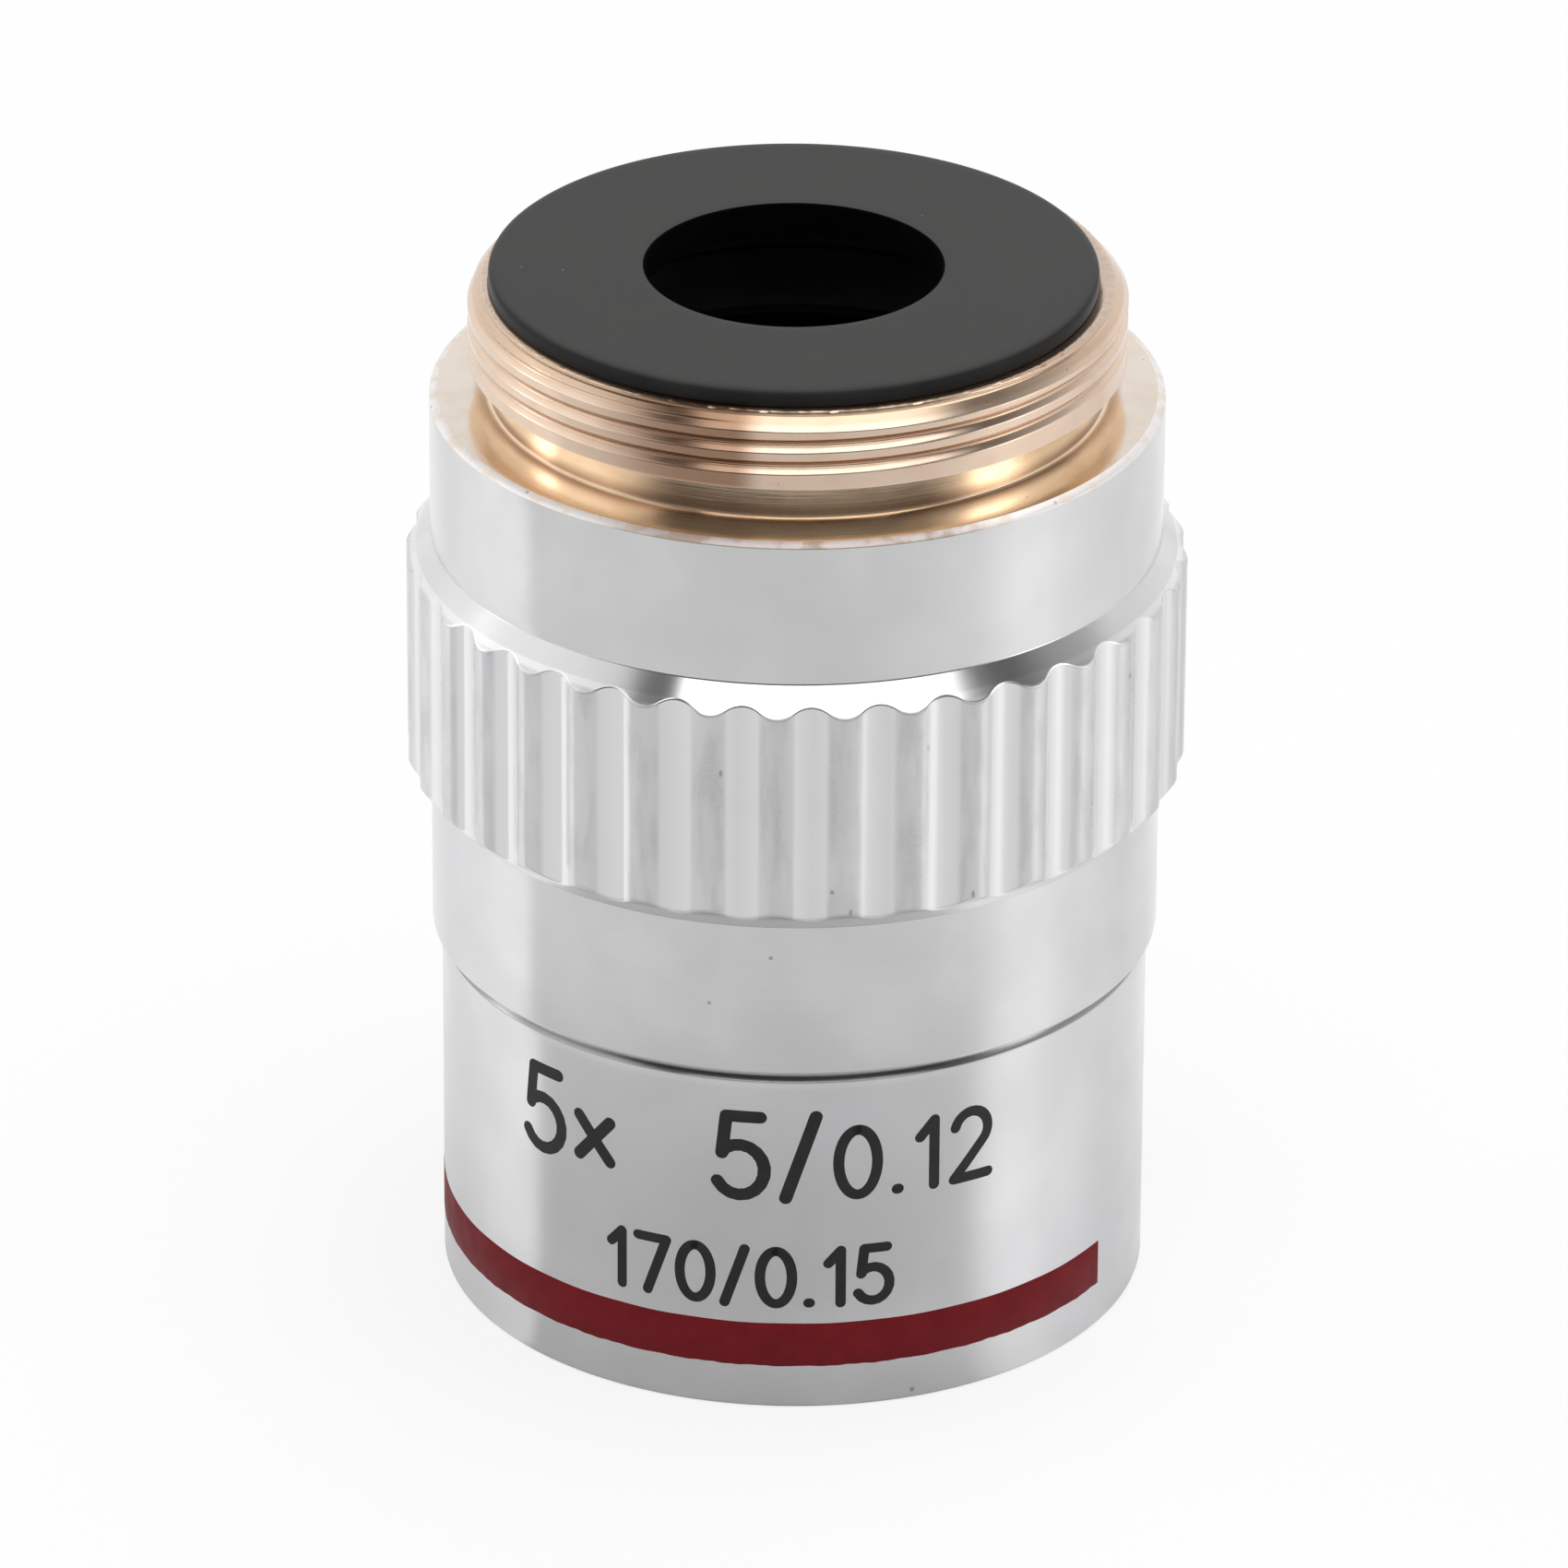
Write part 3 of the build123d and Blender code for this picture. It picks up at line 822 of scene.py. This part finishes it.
# Numerals as single engraved strokes in a box one unit high, with their width
NUMERALS = {
    "0": (0.54, [arc((0.27, 0.5), (0.27, 0.5), 90, 450, 40)]),
    "1": (0.30, [[(0.03, 0.76), (0.24, 1.0), (0.24, 0.0)]]),
    "2": (0.54, [arc((0.27, 0.72), (0.26, 0.28), 165, -35) + [(0.0, 0.0), (0.54, 0.0)]]),
    "5": (0.54, [[(0.49, 1.0), (0.10, 1.0), (0.05, 0.52)] + arc((0.25, 0.32), (0.29, 0.32), 125, -150)]),
    "7": (0.52, [[(0.0, 1.0), (0.52, 1.0), (0.18, 0.0)]]),
    "x": (0.46, [[(0.02, 0.12), (0.44, 0.62)], [(0.02, 0.62), (0.44, 0.12)]]),
    "/": (0.36, [[(0.0, -0.02), (0.34, 1.02)]]),
    ".": (0.10, [[(0.04, 0.02), (0.06, 0.02)]]),
    " ": (0.82, []),
}


def short_steps(line, longest=0.12):
    """The same line with its long straight runs cut into short steps, so that it follows the sleeve."""
    steps = [line[0]]
    for start, end in zip(line, line[1:]):
        count = max(1, math.ceil(math.dist(start, end) / longest))
        for step in range(1, count + 1):
            share = step / count
            steps.append((start[0] + (end[0] - start[0]) * share, start[1] + (end[1] - start[1]) * share))
    return steps


def stroke(points, faces, corners, width):
    """Adds one engraved stroke, filled to just above the sleeve, with round ends and joins."""
    half = width / 2
    line = short_steps(corners)
    sections = []
    for place, (along, height) in enumerate(line):
        ahead = Vector(line[min(place + 1, len(line) - 1)])
        behind = Vector(line[max(place - 1, 0)])
        here = Vector((along, height))
        coming = (here - behind).normalized() if place > 0 else (ahead - here).normalized()
        going = (ahead - here).normalized() if place < len(line) - 1 else coming
        corner = coming.dot(going) < 0.8
        for way in [coming, going] if corner else [(coming + going).normalized()]:
            across = Vector((-way.y, way.x))
            sections.append((here, across))
        if corner or place in (0, len(line) - 1):
            disc(points, faces, here, half)
    inner = half - PAINT_LIP
    profile = [(half, PAINT_FOOT), (inner, PAINT_TOP), (-inner, PAINT_TOP), (-half, PAINT_FOOT)]
    base = len(points)
    for here, across in sections:
        for side, lift in profile:
            spot = here + across * side
            points.append(on_sleeve(spot.x, spot.y, lift))
    for place in range(len(sections) - 1):
        for side in range(3):
            first = base + place * 4 + side
            faces.append((first, first + 1, first + 5, first + 4))


def disc(points, faces, centre, half, sides=18):
    """Round end or join of a stroke."""
    base = len(points)
    points.append(on_sleeve(centre.x, centre.y, PAINT_TOP + 0.0005))
    for reach, lift in ((half - PAINT_LIP, PAINT_TOP - 0.0002), (half, PAINT_FOOT)):
        for step in range(sides):
            turn = 2 * math.pi * step / sides
            along = centre.x + reach * math.cos(turn)
            points.append(on_sleeve(along, centre.y + reach * math.sin(turn), lift))
    inner, outer = base + 1, base + 1 + sides
    for step in range(sides):
        following = (step + 1) % sides
        faces.append((base, inner + step, inner + following))
        faces.append((inner + step, outer + step, outer + following, inner + following))


def marking(name, runs, bottom):
    """Line of numerals round the sleeve, centred on the marking's middle."""
    spans = [(sign, size, width) for text, size, width in runs for sign in text]
    total = sum((NUMERALS[sign][0] + NUMERAL_GAP) * size for sign, size, width in spans)
    total -= NUMERAL_GAP * spans[-1][1]
    along = math.radians(MARKING_MIDDLE) * SLEEVE_RADIUS - total / 2
    points = []
    faces = []
    for sign, size, width in spans:
        wide, lines = NUMERALS[sign]
        for line in lines:
            stroke(points, faces, [(along + x * size, bottom + y * size) for x, y in line], width)
        along += (wide + NUMERAL_GAP) * size
    return painted_piece(name, points, faces, black)


band = colour_band()
first_line = marking("marking_upper", UPPER_RUNS, UPPER_BOTTOM)
second_line = marking("marking_lower", LOWER_RUNS, LOWER_BOTTOM)


def pale_floor():
    """White floor. Where the metal mirrors it, its tone has painted light and shade round the object, as
    a lit table's does, with a painted shadow close to the object's front."""
    material = bpy.data.materials.new("pale_floor")
    material.use_nodes = True
    graph = Graph(material.node_tree)
    axes = graph.add("SeparateXYZ", {0: graph.add("TexCoord").outputs["Object"]}).outputs
    around = graph.bearing(axes[0], axes[1])
    body = BODY_RADIUS * MM
    distance = graph.math("MAXIMUM", graph.from_axis(axes[0], axes[1]), body)
    closeness = graph.math("DIVIDE", body, distance)
    # Bearing in which the round body mirrors this place, found in three steps
    mirrored = around
    for step in range(3):
        lean = graph.times(graph.math("SINE", graph.times(mirrored, 0.5)), closeness)
        mirrored = graph.plus(around, graph.math("ARCSINE", lean))
    # Painted light and shade: the table's tone round the object, seen only in the metal
    table = graph.tone_ramp(mirrored, TABLE_TONES)
    # Painted shadow: close to the object and ahead of it, the table is darkened where the metal mirrors
    # it
    ahead = graph.within(mirrored, math.radians(-92), math.radians(62), math.radians(8))
    near = graph.times(graph.within(closeness, 0.34, 0.66, 0.06), 0.10)
    near = graph.plus(near, graph.step(closeness, 0.28, 0.40, 0.0, 0.13))
    table = graph.mix(graph.times(near, ahead), table, grey(0))
    glossy = graph.add("LightPath").outputs["Is Glossy Ray"]
    lit = graph.add("BsdfDiffuse", {"Color": graph.mix(glossy, grey(0.97), table)})
    glow = graph.add("Emission", {"Color": grey(1), "Strength": 1.0})
    shown = graph.times(graph.seen(), 0.75)
    surface = graph.add("MixShader", {0: shown, 1: lit.outputs[0], 2: glow.outputs[0]})
    output = graph.add("OutputMaterial")
    graph.tree.links.new(surface.outputs[0], output.inputs["Surface"])
    return material


def overhead_tone(graph, axes):
    """Light from above: a bright panel, a dark gap round it that is wider near the camera, pale sides."""
    up = graph.math("MAXIMUM", axes[2], 0.04)
    across = graph.math("DIVIDE", axes[0], up)
    back = graph.math("DIVIDE", axes[1], up)
    slant = graph.plus(across, graph.times(back, -0.41))
    panel = graph.times(graph.step(slant, -0.33, -0.29), graph.step(across, 0.66, 0.70, 1.0, 0.0))
    panel = graph.times(panel, graph.within(back, -0.95, 0.75, 0.05))
    wider = graph.plus(across, graph.step(back, -1.2, -0.7, 1.6, 0.0))
    gap = graph.times(graph.step(wider, -0.70, -0.64), graph.step(across, 1.35, 1.65, 1.0, 0.0))
    gap = graph.times(gap, graph.step(back, 0.8, 1.2, 1.0, 0.0))
    dim = graph.step(back, -1.35, -0.95, 0.18, 0.09)
    dim = graph.math("MAXIMUM", dim, graph.step(across, 0.80, 1.25, 0.0, 0.38))
    left = graph.step(across, -1.15, -0.75, 1.04, 0.84)
    sides = graph.blend(graph.step(across, -0.6, 0.6), left, 0.82)
    return graph.blend(panel, graph.blend(gap, sides, dim), PANEL_LIGHT)


def side_tone(graph, axes):
    """Light from the sides: softboxes that are dimmer near the table, a brighter patch behind, and a
    dim room above and below the eye's level."""
    tones = graph.tone_ramp(graph.bearing(axes[0], axes[1]), ROOM_TONES)
    bright = graph.times(tones, SOFTBOX_LIGHT)
    foot = graph.math("MINIMUM", bright, SOFTBOX_FOOT)
    sides = graph.blend(graph.step(axes[2], 0.22, 0.29), foot, bright)
    rear = graph.within(axes[1], 0.62, 0.80, 0.05)
    rear = graph.times(rear, graph.within(axes[2], 0.41, 0.49, 0.03))
    sides = graph.times(sides, graph.plus(graph.times(rear, 0.4), 1.0))
    level = graph.math("ABSOLUTE", graph.minus(axes[2], EYE_LEVEL))
    return graph.math("MAXIMUM", sides, graph.step(level, 0.12, 0.24, 0.0, 0.34))


def studio():
    """Soft surroundings, plain white where they are seen directly, with a cool patch behind."""
    world = bpy.data.worlds.new("studio")
    world.use_nodes = True
    graph = Graph(world.node_tree)
    axes = graph.add("SeparateXYZ", {0: graph.add("TexCoord").outputs["Generated"]}).outputs
    above = graph.step(axes[2], 0.45, 0.49)
    tone = graph.blend(above, side_tone(graph, axes), overhead_tone(graph, axes))
    seen = graph.seen()
    behind = graph.times(graph.step(axes[1], 0.70, 0.82), graph.within(axes[2], 0.36, 0.54, 0.05))
    behind = graph.times(behind, graph.minus(1.0, seen))
    tint = graph.mix(behind, grey(1), (0.90, 0.97, 1.09, 1))
    light = graph.add("Background", {"Color": tint, "Strength": graph.blend(seen, tone, 1.0)})
    output = graph.add("OutputWorld")
    graph.tree.links.new(light.outputs[0], output.inputs["Surface"])
    return world


def soft_lamp():
    """Large lamp overhead, a little in front, which the metal doesn't mirror."""
    lamp = bpy.data.lights.new("softbox", "AREA")
    lamp.shape = "RECTANGLE"
    lamp.size = 1.0
    lamp.size_y = 1.0
    lamp.energy = LAMP_POWER
    softbox = bpy.data.objects.new("softbox", lamp)
    softbox.location = (0.12, -0.25, 1.2)
    softbox.rotation_euler = (-softbox.location).to_track_quat("-Z", "Y").to_euler()
    softbox.visible_glossy = False
    return softbox


def photo_camera():
    """Camera at the photograph's place and angle."""
    settings = bpy.data.cameras.new("camera")
    settings.lens = LENS
    settings.sensor_width = SENSOR
    settings.clip_start = 0.01
    settings.shift_x = SHIFT_ACROSS / PHOTO_WIDTH
    settings.shift_y = SHIFT_UP / PHOTO_WIDTH
    view = bpy.data.objects.new("camera", settings)
    rise = math.radians(ELEVATION)
    roll = Matrix.Rotation(math.radians(ROLL), 3, "Z")
    view.rotation_euler = (Euler((math.pi / 2 - rise, 0, 0)).to_matrix() @ roll).to_euler()
    view.location = AIM + Vector((0, -math.cos(rise), math.sin(rise))) * DISTANCE
    return view


# Stage: floor, light and camera
floor_mesh = bpy.data.meshes.new("floor")
floor_sides = [(-1, -1), (1, -1), (1, 1), (-1, 1)]
floor_corners = [(x * FLOOR_REACH, y * FLOOR_REACH, FLOOR_LEVEL * MM) for x, y in floor_sides]
floor_mesh.from_pydata(floor_corners, [], [(0, 1, 2, 3)])
floor_mesh.materials.append(pale_floor())
floor = bpy.data.objects.new("floor", floor_mesh)
bpy.context.scene.collection.objects.link(floor)

bpy.context.scene.world = studio()
bpy.context.scene.collection.objects.link(soft_lamp())
camera = photo_camera()
bpy.context.scene.collection.objects.link(camera)
bpy.context.scene.camera = camera
bpy.context.scene.view_settings.view_transform = "Standard"
